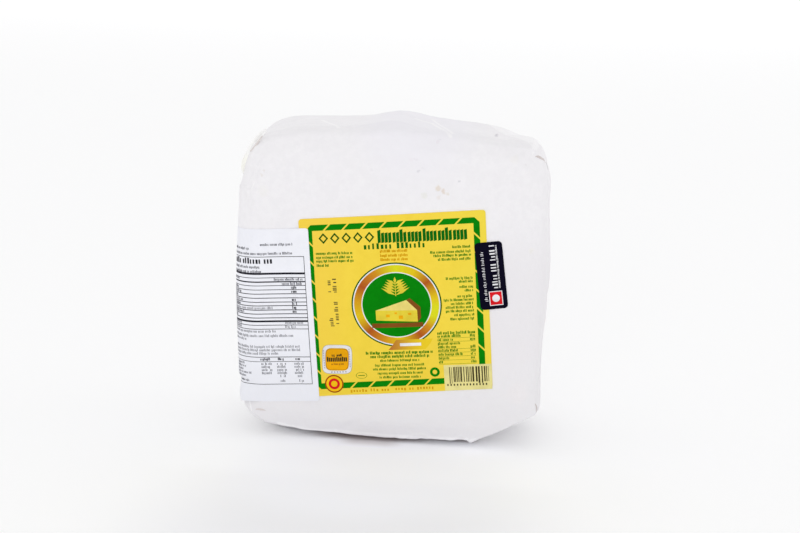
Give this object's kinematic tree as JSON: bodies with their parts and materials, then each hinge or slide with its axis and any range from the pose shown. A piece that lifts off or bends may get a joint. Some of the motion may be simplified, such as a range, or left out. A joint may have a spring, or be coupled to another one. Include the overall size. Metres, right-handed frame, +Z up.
{
  "type": "wrapped whole mahon cheese",
  "caption": "Whole square semi-hard cheese with rounded edges, shut in folded white parchment and standing on a narrow side, with a big front label, a tall wraparound label and a sticker.",
  "frame": {"origin": "middle of the footprint, on the surface that the pack stands on", "axes": "+Z up, the labelled face looks along -Y, +X to the right of somebody facing the labels"},
  "size_m": [0.1876, 0.0879, 0.192],
  "materials": {
    "parchment": "white bloomed parchment, fibrous and faintly mottled, soft creases",
    "yellow_label": "smooth coated label paper, printed",
    "white_label": "smooth white label paper, printed in black",
    "navy_sticker": "dark coated sticker paper, half gloss"
  },
  "bodies": {
    "root": {"wrapped_cheese": "parchment", "front_label": "yellow_label", "facts_label": "white_label", "side_sticker": "navy_sticker"}
  },
  "joints": []
}
